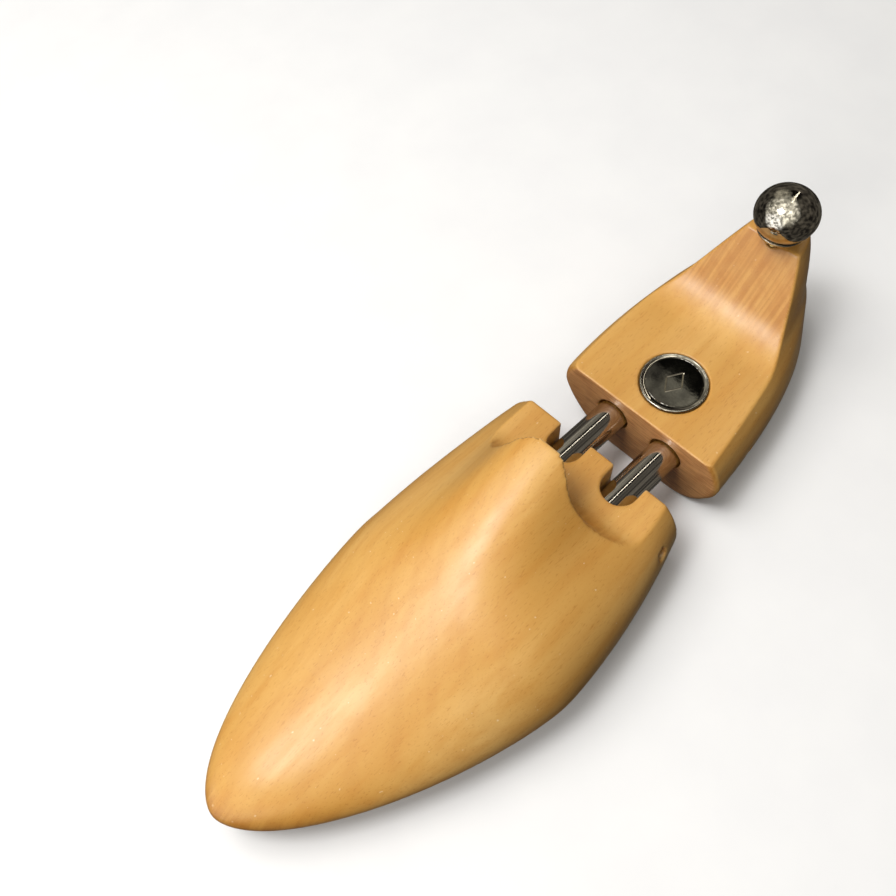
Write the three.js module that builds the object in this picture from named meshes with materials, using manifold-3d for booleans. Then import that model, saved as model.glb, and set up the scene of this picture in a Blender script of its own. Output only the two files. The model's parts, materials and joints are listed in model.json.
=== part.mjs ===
// Shoe tree for a left shoe: two wooden blocks joined by a pair of sprung steel tubes.
// Millimetres. +X points to the toe, +Y to the outer side of the foot and +Z up.
// While it is built, x = 0 is the rear face of the forefoot block and z = 0 the sole.
import * as THREE from 'three'
import { mergeVertices } from 'three/addons/utils/BufferGeometryUtils.js'
import Module from 'manifold-3d'

const wasm = await Module()
wasm.setup()

// ---- driving dimensions ----
const FIT_GAP = 0.35 // clearance round a piece seated in wood or in a tube
const CUT_OVER = 5 // how far a cutter runs past the surface that it opens
const BLOCK_GAP = 21.5 // between the two blocks at rest
const TRAVEL = 14 // how far the heel block can be pushed in

const FORE_LENGTH = 170
const FORE_HALF = 46.3 // half width at the ball of the foot
const BALL_X = 70 // where the forefoot block is widest
const REAR_NARROWING = 8.2 // half width lost from the ball to the rear face
const TOE_SWING = 10.3 // how far the toe bends to the inner side
const WAIST_Z = 15 // height of the widest line of the forefoot
const CREST_RISE = 33 // instep height lost between the rear and the toe
const TOE_RISE = 11.5 // crest above the widest line near the toe
const RIDGE_RISE = 19 // share of the instep that is a narrow ridge
const RIDGE_Y = -11
const RIDGE_OUTER = 23.5 // reach of the ridge to the outer side
const RIDGE_INNER = 16
const TOE_SPRING = 8 // sole lift under the toe
const SOLE_CUT = 1.5 // depth of the sole that is planed away to leave a flat
const SOLE_POWER = 0.67 // squareness of the section below the waist line
const LEDGE_Z = 33 // cut-down shelf at the rear of the forefoot
const SCOOP_R = 11.7 // hollow between the shelf and the instep
const SCOOP_X = 15.5

const HEEL_FACE = -BLOCK_GAP
const HEEL_BACK = 114 // rearmost point of the heel, behind x = 0
const HEEL_TOP_Z = 31 // flat that carries the plaque
const PLATEAU_Z = 54.5 // top that carries the knob
const BEND_START = 62
const BEND_R = 28.2
const RAMP_ANGLE = Math.PI / 4

const TUBE_R = 6
const TUBE_BORE_R = 5
const TUBE_Y = [12.9, -11.1] // outer and inner tube
const TUBE_TILT = THREE.MathUtils.degToRad(7.5) // the tubes rise towards the toe
const TUBE_Z = 22.3 // height of their axes at x = 0; pieces on them are placed by distance along them
const TUBE_FRONT = 34
const TUBE_BACK = -60
const HEEL_BORE_R = 6.7
const HEEL_BORE_END = -80

const PIN_R = 2
const PIN_IN = -19 // inner end of both cross pins
const FORE_PIN_OUT = 34.5 // outer ends, a little below the mouths of their drilled holes
const HEEL_PIN_OUT = 31
const FORE_PIN_X = 11.5
const HEEL_PIN_X = -45
const PLUG_LENGTH = 4
const SPRING_R = 4
const WIRE_R = 0.5
const SPRING_TURNS = 12
const FOLLOWER_BACK = HEEL_PIN_X + PIN_R + FIT_GAP
const SPRING_BACK = FOLLOWER_BACK + PLUG_LENGTH + FIT_GAP
const PLUG_FRONT = FORE_PIN_X - PIN_R - FIT_GAP
const SPRING_FRONT = PLUG_FRONT - PLUG_LENGTH - FIT_GAP

const KNOB_X = -100.5
const KNOB_Y = -5
const KNOB_R = 11.4
const KNOB_HALF_HEIGHT = 9.5
const KNOB_Z = 66 // where the knob is widest
const STUD_R = 2
const INSERT_R = 4
const INSERT_LENGTH = 14
const PLAQUE_X = -40.6
const PLAQUE_R = 12.4
const PLAQUE_DEPTH = 1.6

// ---- materials ----
const BEECH = { color: 0xd9a562, roughness: 0.45, metalness: 0 }
const STEEL = { color: 0xb9bcc0, roughness: 0.18, metalness: 1 }
const NICKEL = { color: 0x8f8c86, roughness: 0.12, metalness: 1 }
const BRASS = { color: 0xb08d4a, roughness: 0.35, metalness: 1 }
const NYLON = { color: 0xe6e2d8, roughness: 0.55, metalness: 0 }
const GLUE = { color: 0x3b3a38, roughness: 0.9, metalness: 0 }

// ---- helpers ----
const smooth = (v) => THREE.MathUtils.smoothstep(v, 0, 1)
const mix = THREE.MathUtils.lerp
const power = (base, exponent) => Math.sign(base) * Math.abs(base) ** exponent

function closed(geometry) {
  const bare = geometry.index ? geometry.clone() : geometry
  bare.deleteAttribute('normal')
  bare.deleteAttribute('uv')
  return mergeVertices(bare, 1e-4)
}

function toSolid(geometry) {
  const merged = closed(geometry)
  return new wasm.Manifold(
    new wasm.Mesh({
      numProp: 3,
      vertProperties: new Float32Array(merged.attributes.position.array),
      triVerts: new Uint32Array(merged.index.array),
    }),
  )
}

function toGeometry(solid) {
  const mesh = solid.getMesh()
  const geometry = new THREE.BufferGeometry()
  geometry.setAttribute('position', new THREE.BufferAttribute(mesh.vertProperties, 3))
  geometry.setIndex(new THREE.BufferAttribute(mesh.triVerts, 1))
  geometry.computeVertexNormals()
  return geometry
}

function carve(geometry, cutters) {
  return toGeometry(cutters.reduce((solid, cutter) => solid.subtract(toSolid(cutter)), toSolid(geometry)))
}

// A closed skin over rings that run anticlockwise about the direction they are stacked in.
function loft(rings, startPole, endPole) {
  const count = rings[0].length
  const points = [...rings.flat(), startPole, endPole]
  const faces = []
  const start = points.length - 2
  const end = points.length - 1
  const last = (rings.length - 1) * count
  for (let i = 0; i < count; i++) {
    const next = (i + 1) % count
    faces.push(start, next, i)
    faces.push(end, last + i, last + next)
    for (let ring = 0; ring < last; ring += count) {
      faces.push(ring + i, ring + next, ring + count + next)
      faces.push(ring + i, ring + count + next, ring + count + i)
    }
  }
  const geometry = new THREE.BufferGeometry()
  geometry.setAttribute('position', new THREE.Float32BufferAttribute(points.flatMap((p) => p.toArray()), 3))
  geometry.setIndex(faces)
  return geometry
}

// A cylinder along X from one x to another.
function rodX(radius, from, to, y, segments = 24) {
  const geometry = new THREE.CylinderGeometry(radius, radius, to - from, segments)
  geometry.rotateZ(-Math.PI / 2)
  return geometry.translate((from + to) / 2, y, 0)
}

// A cylinder along Y from one y to another.
function rodY(radius, from, to, x, segments = 16) {
  return new THREE.CylinderGeometry(radius, radius, to - from, segments).translate(x, (from + to) / 2, 0)
}

function box(low, high) {
  const size = new THREE.Vector3().subVectors(high, low)
  const middle = new THREE.Vector3().addVectors(low, high).multiplyScalar(0.5)
  return new THREE.BoxGeometry(size.x, size.y, size.z).translate(middle.x, middle.y, middle.z)
}

// An outline in the X-Z plane pushed through the whole width of a block.
function crossCutter(outline) {
  const width = 4 * FORE_HALF
  const shape = new THREE.Shape(outline)
  const geometry = new THREE.ExtrudeGeometry(shape, { depth: width, bevelEnabled: false })
  geometry.rotateX(Math.PI / 2)
  return geometry.translate(0, width / 2, 0)
}

function belowGround() {
  const reach = 2 * FORE_LENGTH
  return box(new THREE.Vector3(-reach, -reach, -CUT_OVER * 2), new THREE.Vector3(reach, reach, 0))
}

// A solid turned about a vertical axis from [radius, height] points.
function turned(profile, segments = 24) {
  const points = profile.map(([radius, height]) => new THREE.Vector2(radius, height))
  return closed(new THREE.LatheGeometry(points, segments)).rotateX(Math.PI / 2)
}

const group = new THREE.Group()
group.name = 'shoe_tree'

// Everything on the tubes is drawn level, with its axis through the slide group's origin.
const slide = new THREE.Group()
slide.position.z = TUBE_Z
slide.rotation.y = -TUBE_TILT
slide.updateMatrix()
group.add(slide)

function add(name, geometry, look, position = [0, 0, 0], parent = group) {
  const mesh = new THREE.Mesh(geometry, new THREE.MeshStandardMaterial(look))
  mesh.name = name
  mesh.position.set(...position)
  parent.add(mesh)
}

function addOnSlide(name, geometry, look, position) {
  add(name, geometry, look, position, slide)
}

// ---- forefoot block ----
function forefootHalf(x) {
  if (x < BALL_X) return FORE_HALF - REAR_NARROWING * ((BALL_X - x) / BALL_X) ** 2
  const toToe = (x - BALL_X) / (FORE_LENGTH - BALL_X)
  return FORE_HALF * (1 - toToe ** 1.4) ** 0.57
}

function forefootCentre(x) {
  const rear = Math.max(0, (60 - x) / 60)
  const front = Math.max(0, (x - 65) / (FORE_LENGTH - 65))
  return -2.3 * rear ** 1.5 - TOE_SWING * front ** 1.25
}

// Falls from 1 to 0 between a start and the tip of the toe, with a round end.
function toeClosing(x, start) {
  return Math.sqrt(1 - Math.max(0, (x - start) / (FORE_LENGTH - start)) ** 3)
}

function forefootRise(x) {
  return (TOE_RISE + CREST_RISE * (1 - smooth(x / 145))) * toeClosing(x, 105)
}

function forefootDrop(x) {
  const rearLift = 4 * (1 - smooth(x / 40))
  const toeLift = TOE_SPRING * smooth((x - 105) / 62)
  return (WAIST_Z + SOLE_CUT - rearLift - toeLift) * toeClosing(x, 145)
}

// One cross-section: a body with the instep ridge on it, fuller on the outer side, and a flattened sole.
function forefootRing(x, count) {
  const middle = forefootCentre(x)
  const half = forefootHalf(x)
  const ridge = RIDGE_RISE * (1 - smooth((x - 15) / 65))
  const body = forefootRise(x) - ridge
  const drop = forefootDrop(x)
  const outerFullness = 2 / mix(2.45, 2, smooth(x / 120))
  const ring = []
  for (let i = 0; i < count; i++) {
    const angle = (2 * Math.PI * i) / count
    const across = Math.cos(angle)
    const up = Math.sin(angle)
    const fullness = across > 0 ? outerFullness : 1
    const y = middle + half * power(across, up >= 0 ? fullness : SOLE_POWER)
    const reach = y > RIDGE_Y ? RIDGE_OUTER : RIDGE_INNER
    const onRidge = ridge * Math.exp(-(Math.abs((y - RIDGE_Y) / reach) ** 3))
    const z = up >= 0 ? body * up ** fullness + onRidge * up ** 0.3 : drop * up
    ring.push(new THREE.Vector3(x, y, WAIST_Z + z))
  }
  return ring
}

function forefootLoft() {
  const stations = 23
  const rings = []
  for (let i = 0; i < stations; i++) {
    const spread = Math.sin((Math.PI / 2) * (i / stations))
    rings.push(forefootRing(FORE_LENGTH * spread, 32))
  }
  const rearPole = new THREE.Vector3(0, forefootCentre(0), WAIST_Z)
  const toePole = new THREE.Vector3(FORE_LENGTH, forefootCentre(FORE_LENGTH), WAIST_Z)
  return loft(rings, rearPole, toePole)
}

// The shelf, the hollow that rises from it and the slope that leans back to the lip.
function scoopCutter() {
  const steps = 9
  const lean = Math.PI / 4
  const top = WAIST_Z + TOE_RISE + CREST_RISE + CUT_OVER
  const outline = [new THREE.Vector2(-CUT_OVER, LEDGE_Z)]
  for (let i = 0; i <= steps; i++) {
    const angle = mix(-Math.PI / 2, lean, i / steps)
    const x = SCOOP_X + SCOOP_R * Math.cos(angle)
    outline.push(new THREE.Vector2(x, LEDGE_Z + SCOOP_R + SCOOP_R * Math.sin(angle)))
  }
  const bendEnd = outline.at(-1)
  const lipX = bendEnd.x - (top - bendEnd.y) * Math.tan(lean)
  outline.push(new THREE.Vector2(lipX, top), new THREE.Vector2(-CUT_OVER, top))
  return crossCutter(outline)
}

// A round-ended slot down through the shelf to one tube, and the bore that seats the tube.
function notchCutters(y) {
  const endX = 5.5
  const top = LEDGE_Z + CUT_OVER
  const slot = box(
    new THREE.Vector3(-CUT_OVER, y - HEEL_BORE_R, TUBE_Z),
    new THREE.Vector3(endX, y + HEEL_BORE_R, top),
  )
  const round = new THREE.CylinderGeometry(HEEL_BORE_R, HEEL_BORE_R, top - TUBE_Z, 24)
  round.rotateX(Math.PI / 2).translate(endX, y, (top + TUBE_Z) / 2)
  const bore = rodX(TUBE_R + FIT_GAP, -CUT_OVER, TUBE_FRONT + FIT_GAP, y)
  const mouth = rodX(HEEL_BORE_R, -CUT_OVER, endX, y)
  return [slot, round, bore.applyMatrix4(slide.matrix), mouth.applyMatrix4(slide.matrix)]
}

function pinHole(x) {
  return rodY(PIN_R + FIT_GAP, PIN_IN - FIT_GAP, FORE_HALF + CUT_OVER, x).applyMatrix4(slide.matrix)
}

function addForefootBlock() {
  const notches = TUBE_Y.flatMap(notchCutters)
  const cutters = [scoopCutter(), ...notches, pinHole(FORE_PIN_X), belowGround()]
  add('forefoot_block', carve(forefootLoft(), cutters), BEECH)
}

// ---- heel block ----
// [height, half width at the face, centre there, shift of the centre to the inner side,
// rearmost point, taper and bluntness of the plan]
const HEEL_LEVELS = [
  [0, 17, 4, 2, 100, 2.4, 0.5],
  [1, 20.5, 4.2, 2, 103.5, 2.5, 0.5],
  [3.5, 25, 4, 2, 107, 2.5, 0.48],
  [8, 29.5, 3, 2.5, 111, 2.4, 0.48],
  [14, 33.6, 1.8, 3, 113.2, 2.3, 0.46],
  [20, 35.3, 0.6, 4.5, HEEL_BACK, 2.3, 0.46],
  [26, 33.8, 0, 4.8, HEEL_BACK, 2, 0.4],
  [HEEL_TOP_Z, 30.6, -0.3, 5.3, 113.8, 1.6, 0.305],
  [34, 27.2, -0.4, 5.3, 113.6, 2, 0.31],
  [37, 23.8, -0.4, 5.3, 113.5, 3, 0.325],
  [45, 18, -0.3, 5.3, 113.2, 6, 0.35],
  [PLATEAU_Z, 11.6, -0.3, 5.3, 111.8, 12, 0.3],
]

// One plan section, drawn out from a flat face with eased corners to a blunt back.
function heelRing([z, half, centre, shift, back, taper, bluntness], sideSteps) {
  const corner = 2.5
  const length = back + HEEL_FACE
  const sideAt = (t) => half * (1 - t ** taper) ** bluntness
  const middleAt = (t) => centre - shift * t ** 0.75
  const outer = []
  for (const angle of [0, Math.PI / 6, Math.PI / 3]) {
    const x = HEEL_FACE - corner + corner * Math.cos(angle)
    outer.push([x, half - corner + corner * Math.sin(angle), centre])
  }
  for (let i = 0; i < sideSteps; i++) {
    const t = mix(corner / length, 1, Math.sin((Math.PI / 2) * (i / sideSteps)))
    outer.push([HEEL_FACE - t * length, sideAt(t), middleAt(t)])
  }
  const tail = [-back, 0, middleAt(1)]
  const inner = outer.map(([x, side, middle]) => [x, -side, middle]).reverse()
  return [...outer, tail, ...inner].map(([x, side, middle]) => new THREE.Vector3(x, middle + side, z))
}

function heelLoft() {
  const rings = HEEL_LEVELS.map((level) => heelRing(level, 13))
  const pole = (z) => new THREE.Vector3(mix(HEEL_FACE, -HEEL_BACK, 0.5), 0, z)
  return loft(rings, pole(0), pole(PLATEAU_Z))
}

// Everything above the plaque flat, the concave bend and the ramp up to the knob.
function heelTopCutter() {
  const steps = 7
  const top = PLATEAU_Z + CUT_OVER
  const outline = [new THREE.Vector2(CUT_OVER, top), new THREE.Vector2(CUT_OVER, HEEL_TOP_Z)]
  for (let i = 0; i <= steps; i++) {
    const angle = (RAMP_ANGLE * i) / steps
    const x = -BEND_START - BEND_R * Math.sin(angle)
    outline.push(new THREE.Vector2(x, HEEL_TOP_Z + BEND_R * (1 - Math.cos(angle))))
  }
  const bendEnd = outline.at(-1)
  outline.push(new THREE.Vector2(bendEnd.x - (top - bendEnd.y) / Math.tan(RAMP_ANGLE), top))
  return crossCutter(outline.reverse())
}

function addHeelBlock() {
  const bores = TUBE_Y.map((y) => rodX(HEEL_BORE_R, HEEL_BORE_END, CUT_OVER, y).applyMatrix4(slide.matrix))
  const recess = new THREE.CylinderGeometry(PLAQUE_R + FIT_GAP, PLAQUE_R + FIT_GAP, 2 * PLAQUE_DEPTH, 40)
  recess.rotateX(Math.PI / 2).translate(PLAQUE_X, 0, HEEL_TOP_Z)
  const socketDepth = INSERT_LENGTH + FIT_GAP
  const socket = new THREE.CylinderGeometry(INSERT_R + FIT_GAP, INSERT_R + FIT_GAP, 2 * socketDepth, 20)
  socket.rotateX(Math.PI / 2).translate(KNOB_X, KNOB_Y, PLATEAU_Z)
  add('heel_block', carve(heelLoft(), [heelTopCutter(), ...bores, pinHole(HEEL_PIN_X), recess, socket]), BEECH)
}

// ---- slide tubes, springs and pins ----
const SIDES = ['outer', 'inner']

function addTube(side, y) {
  const slotBack = HEEL_PIN_X - PIN_R - FIT_GAP
  const slotFront = HEEL_PIN_X + TRAVEL + PIN_R + FIT_GAP
  const slotHalf = PIN_R + FIT_GAP
  const bore = rodX(TUBE_BORE_R, TUBE_BACK - CUT_OVER, TUBE_FRONT + CUT_OVER, y)
  const pin = rodY(slotHalf, y - 2 * TUBE_R, y + 2 * TUBE_R, FORE_PIN_X)
  const slot = box(
    new THREE.Vector3(slotBack, y - 2 * TUBE_R, -slotHalf),
    new THREE.Vector3(slotFront, y + 2 * TUBE_R, slotHalf),
  )
  const tube = carve(rodX(TUBE_R, TUBE_BACK, TUBE_FRONT, y), [bore, pin, slot])
  addOnSlide(`${side}_slide_tube`, tube, STEEL)
}

// A coil with its first and last turns closed up.
class Coil extends THREE.Curve {
  constructor(length) {
    super()
    this.length = length
  }

  getPoint(t) {
    const closedShare = 1 / SPRING_TURNS
    const closedPitch = 2 * WIRE_R + 0.4
    const openShare = 1 - 2 * closedShare
    const openLength = this.length - 2 * closedPitch
    const inOpen = THREE.MathUtils.clamp((t - closedShare) / openShare, 0, 1)
    const first = Math.min(t / closedShare, 1)
    const last = Math.max((t - 1) / closedShare + 1, 0)
    const angle = 2 * Math.PI * SPRING_TURNS * t
    const along = closedPitch * (first + last) + openLength * inOpen
    return new THREE.Vector3(along, SPRING_R * Math.cos(angle), SPRING_R * Math.sin(angle))
  }
}

function springGeometry() {
  const wire = new THREE.Shape()
  wire.absarc(0, 0, WIRE_R, 0, 2 * Math.PI)
  const path = new Coil(SPRING_FRONT - SPRING_BACK - 2 * WIRE_R)
  const geometry = new THREE.ExtrudeGeometry(wire, {
    steps: SPRING_TURNS * 8,
    curveSegments: 3,
    extrudePath: path,
    bevelEnabled: false,
  })
  return closed(geometry)
}

function addSpringSet(side, y) {
  const plugR = TUBE_BORE_R - FIT_GAP
  addOnSlide(`${side}_spring`, springGeometry(), STEEL, [SPRING_BACK + WIRE_R, y, 0])
  addOnSlide(`${side}_front_plug`, rodX(plugR, PLUG_FRONT - PLUG_LENGTH, PLUG_FRONT, y, 20), BRASS)
  const followerFront = FOLLOWER_BACK + PLUG_LENGTH
  addOnSlide(`${side}_spring_follower`, rodX(plugR, FOLLOWER_BACK, followerFront, y, 20), BRASS)
}

// A flanged nylon bush in the tail of the tube; its rim is the bearing in the heel bore.
function addTailBush(side, y) {
  const rim = 3
  const neckR = TUBE_BORE_R - FIT_GAP
  const rimR = HEEL_BORE_R - FIT_GAP
  const neckEnd = 8
  const profile = [[0, 0], [rimR, 0], [rimR, rim], [neckR, rim], [neckR, rim + neckEnd], [0, rim + neckEnd]]
  const bush = turned(profile, 24).rotateY(Math.PI / 2)
  addOnSlide(`${side}_tail_bush`, bush, NYLON, [TUBE_BACK - FIT_GAP - rim, y, 0])
}

function addCrossPin(name, x, outerEnd) {
  addOnSlide(name, rodY(PIN_R, PIN_IN, outerEnd, x, 14), STEEL)
}

// ---- knob ----
function addKnob() {
  const collarZ = PLATEAU_Z + FIT_GAP
  const collarHeight = 2.6
  const flangeZ = collarZ + collarHeight + FIT_GAP
  const flangeHeight = 0.9
  const domeZ = flangeZ + flangeHeight + FIT_GAP
  const studZ = PLATEAU_Z - INSERT_LENGTH + 2
  const place = (z) => [KNOB_X, KNOB_Y, z]

  const steps = 11
  const footAngle = Math.asin((domeZ - KNOB_Z) / KNOB_HALF_HEIGHT)
  const dome = [[0, 0]]
  for (let i = 0; i < steps; i++) {
    const angle = mix(footAngle, Math.PI / 2, i / steps)
    dome.push([KNOB_R * Math.cos(angle), KNOB_Z - domeZ + KNOB_HALF_HEIGHT * Math.sin(angle)])
  }
  dome.push([0, KNOB_Z - domeZ + KNOB_HALF_HEIGHT])
  const studHeight = domeZ - FIT_GAP - studZ
  const stud = [[0, 0], [STUD_R, 0], [STUD_R, studHeight], [0, studHeight]]
  add('knob_dome', turned(dome), NICKEL, place(domeZ))
  add('knob_flange', ringGeometry(8.6, flangeHeight), NICKEL, place(flangeZ))
  add('knob_collar', ringGeometry(5.6, collarHeight), NICKEL, place(collarZ))
  add('knob_stud', turned(stud), STEEL, place(studZ))
}

// A flat ring that the stud passes through.
function ringGeometry(outerR, height) {
  const innerR = STUD_R + FIT_GAP
  return turned([[innerR, 0], [outerR, 0], [outerR, height], [innerR, height], [innerR, 0]])
}

function addInsert() {
  add('threaded_insert', ringGeometry(INSERT_R, INSERT_LENGTH - 0.5), BRASS, [
    KNOB_X,
    KNOB_Y,
    PLATEAU_Z - INSERT_LENGTH,
  ])
}

// ---- plaque ----
function addPlaque() {
  const padHeight = 0.4
  const bevel = 0.3
  const discHeight = PLAQUE_DEPTH - padHeight - 2 * FIT_GAP + 0.5
  const padZ = HEEL_TOP_Z - PLAQUE_DEPTH + FIT_GAP
  const disc = [[0, 0], [PLAQUE_R, 0], [PLAQUE_R, discHeight - bevel], [PLAQUE_R - bevel, discHeight], [0, discHeight]]
  add('plaque_disc', turned(disc, 40), NICKEL, [PLAQUE_X, 0, padZ + padHeight + FIT_GAP])
  const padR = PLAQUE_R - 1
  const pad = [[0, 0], [padR, 0], [padR, padHeight], [0, padHeight]]
  add('plaque_glue_pad', turned(pad, 32), GLUE, [PLAQUE_X, 0, padZ])
}

// ---- assembly ----
addForefootBlock()
addHeelBlock()
SIDES.forEach((side, index) => {
  addTube(side, TUBE_Y[index])
  addSpringSet(side, TUBE_Y[index])
  addTailBush(side, TUBE_Y[index])
})
addCrossPin('forefoot_cross_pin', FORE_PIN_X, FORE_PIN_OUT)
addCrossPin('heel_cross_pin', HEEL_PIN_X, HEEL_PIN_OUT)
addKnob()
addInsert()
addPlaque()

// The finished tree is centred over the origin in plan.
const bounds = new THREE.Box3().setFromObject(group, true)
const centre = bounds.getCenter(new THREE.Vector3())
group.position.set(-centre.x, -centre.y, -bounds.min.z)

export default group
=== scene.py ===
"""Looks of the shoe tree: lacquered beech blocks, polished tubes, nickel knob and plaque.

Everything is in metres in the row frame: +X to the toe, +Y to the outer side of the foot, +Z up.
"""
import json
import math

import bmesh
import bpy
import numpy as np
from mathutils import Matrix, Vector


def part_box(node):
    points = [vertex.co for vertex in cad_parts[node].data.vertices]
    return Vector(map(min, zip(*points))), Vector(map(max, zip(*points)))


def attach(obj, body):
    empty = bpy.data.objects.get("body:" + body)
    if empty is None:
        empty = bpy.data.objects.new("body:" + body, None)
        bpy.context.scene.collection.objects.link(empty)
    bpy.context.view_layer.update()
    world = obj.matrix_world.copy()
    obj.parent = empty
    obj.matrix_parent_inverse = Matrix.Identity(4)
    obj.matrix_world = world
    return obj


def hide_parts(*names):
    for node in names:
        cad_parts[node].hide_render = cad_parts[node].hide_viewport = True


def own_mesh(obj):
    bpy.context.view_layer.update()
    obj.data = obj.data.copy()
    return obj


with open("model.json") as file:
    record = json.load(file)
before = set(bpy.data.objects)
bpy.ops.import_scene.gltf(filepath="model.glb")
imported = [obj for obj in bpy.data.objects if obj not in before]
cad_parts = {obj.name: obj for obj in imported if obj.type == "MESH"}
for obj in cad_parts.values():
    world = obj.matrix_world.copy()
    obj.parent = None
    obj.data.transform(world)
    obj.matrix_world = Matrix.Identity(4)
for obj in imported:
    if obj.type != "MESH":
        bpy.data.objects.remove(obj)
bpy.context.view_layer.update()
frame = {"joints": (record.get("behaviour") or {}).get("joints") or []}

# ---- what the frame gives ----
fore_low, fore_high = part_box("forefoot_block")
heel_low, heel_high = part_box("heel_block")
SLIDE = frame["joints"][0]
TRAVEL = SLIDE["range_m"][1]
ALONG = Vector(SLIDE["axis"]).normalized()
TILT = math.asin(ALONG.z)
REAR_X = fore_low[0]
FORE_LENGTH = fore_high[0] - fore_low[0]
FACET_ALLOWANCE = 0.00012  # fine sections reach this much further than the CAD's facets
FORE_HALF = (fore_high[1] - fore_low[1]) / 2 - FACET_ALLOWANCE
FACE_X = heel_high[0]
HEEL_BACK = REAR_X - heel_low[0]
PLATEAU_Z = heel_high[2]


def box_centre(node):
    low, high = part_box(node)
    return (Vector(low) + Vector(high)) / 2


def box_size(node):
    low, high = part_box(node)
    return Vector(high) - Vector(low)


MID_Y = box_centre("plaque_disc").y
TUBE_Y = {side: box_centre(f"{side}_slide_tube").y for side in ("outer", "inner")}
TUBE_R = box_size("outer_slide_tube").y / 2
TUBE_LENGTH = (box_size("outer_slide_tube").x - 2 * TUBE_R * math.sin(TILT)) / math.cos(TILT)
tube_centre = box_centre("outer_slide_tube")
TUBE_Z = tube_centre.z + (REAR_X - tube_centre.x) * math.tan(TILT)
ON_SLIDE = Matrix.Translation((REAR_X, 0, TUBE_Z)) @ Matrix.Rotation(-TILT, 4, "Y")


def along_slide(node):
    """Where a node's middle lies along the tubes, from the rear face of the forefoot."""
    return (box_centre(node).x - REAR_X) / math.cos(TILT)


def slide_length(node, radius):
    """The length along the tubes of a round piece on them."""
    return (box_size(node).x - 2 * radius * math.sin(TILT)) / math.cos(TILT)


TUBE_MIDDLE = along_slide("outer_slide_tube")
PIN_R = box_size("forefoot_cross_pin").x / 2
FORE_PIN = along_slide("forefoot_cross_pin")
HEEL_PIN = along_slide("heel_cross_pin")

# ---- driving dimensions that the frame doesn't give ----
MM = 0.001
GAP = 0.35 * MM
CUT_OVER = 5 * MM  # how far a cutter runs past the surface that it opens
BALL = 70 * MM
REAR_NARROWING = 8.2 * MM
TOE_SWING = 10.3 * MM
WAIST_Z = 15 * MM
CREST_RISE = 33 * MM
TOE_RISE = 11.5 * MM
RIDGE_RISE = 19 * MM
RIDGE_Y = MID_Y - 11 * MM
RIDGE_OUTER = 23.5 * MM
RIDGE_INNER = 16 * MM
TOE_SPRING = 8 * MM
SOLE_CUT = 1.5 * MM
SOLE_POWER = 0.67
LEDGE_Z = 33 * MM
SCOOP_R = 11.7 * MM
SCOOP_X = 15.5 * MM
BORE_R = TUBE_R + 0.7 * MM
TUBE_BORE_R = TUBE_R - 1 * MM
HEEL_BORE_END = -80 * MM
HEEL_TOP_Z = 31 * MM
PLAQUE_DEPTH = 1.6 * MM
STUD_BORE_R = 2.35 * MM
BEND_START = REAR_X - 62 * MM
BEND_R = 28.2 * MM
RAMP_ANGLE = math.pi / 4
SPRING_TURNS = 12
WIRE_R = 0.5 * MM
SPRING_OUTER_R = 4.5 * MM
WOOD_VOXEL = 0.71 * MM
HEEL_VOXEL = 0.57 * MM


def smoothstep(value, start, end):
    t = np.clip((value - start) / (end - start), 0, 1)
    return t * t * (3 - 2 * t)


def mix(a, b, t):
    return a + (b - a) * t


# ---- mesh helpers ----
def new_object(name, verts, faces):
    mesh = bpy.data.meshes.new(name)
    mesh.from_pydata([tuple(v) for v in verts], [], faces)
    mesh.update()
    obj = bpy.data.objects.new(name, mesh)
    bpy.context.scene.collection.objects.link(obj)
    return obj


def loft(name, rings, start_pole, end_pole):
    """A closed skin over rings that run anticlockwise about the direction they are stacked in."""
    count = len(rings[0])
    verts = [point for ring in rings for point in ring] + [start_pole, end_pole]
    start, end = len(verts) - 2, len(verts) - 1
    last = (len(rings) - 1) * count
    faces = []
    for i in range(count):
        after = (i + 1) % count
        faces.append((start, after, i))
        faces.append((end, last + i, last + after))
        for ring in range(0, last, count):
            faces.append((ring + i, ring + after, ring + count + after, ring + count + i))
    return new_object(name, verts, faces)


AXIS_TURNS = {
    "X": Matrix.Rotation(math.pi / 2, 4, "Y"),
    "Y": Matrix.Rotation(-math.pi / 2, 4, "X"),
    "Z": Matrix.Identity(4),
}


def turned(name, profile, segments, place, axis="Z"):
    """A solid turned from [radius, height] points that start and end on the axis or close on themselves."""
    open_ring = profile[0] != profile[-1]
    bm = bmesh.new()
    spin = []
    for radius, height in profile if open_ring else profile[:-1]:
        if radius < 1e-9:
            spin.append([bm.verts.new((0, 0, height))])
            continue
        angles = [2 * math.pi * i / segments for i in range(segments)]
        spin.append([bm.verts.new((radius * math.cos(a), radius * math.sin(a), height)) for a in angles])
    pairs = list(zip(spin, spin[1:]))
    if not open_ring:
        pairs.append((spin[-1], spin[0]))
    for lower, upper in pairs:
        for i in range(segments):
            after = (i + 1) % segments
            corners = [
                lower[i % len(lower)],
                lower[after % len(lower)],
                upper[after % len(upper)],
                upper[i % len(upper)],
            ]
            unique = list(dict.fromkeys(corners))
            if len(unique) > 2:
                bm.faces.new(unique)
    bmesh.ops.recalc_face_normals(bm, faces=bm.faces)
    bm.transform(Matrix.Translation(place) @ AXIS_TURNS[axis])
    mesh = bpy.data.meshes.new(name)
    bm.to_mesh(mesh)
    bm.free()
    obj = bpy.data.objects.new(name, mesh)
    bpy.context.scene.collection.objects.link(obj)
    return obj


def rod(name, radius, start, length, axis, segments=64):
    profile = [(0, 0), (radius, 0), (radius, length), (0, length)]
    return turned(name, profile, segments, start, axis)


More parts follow.
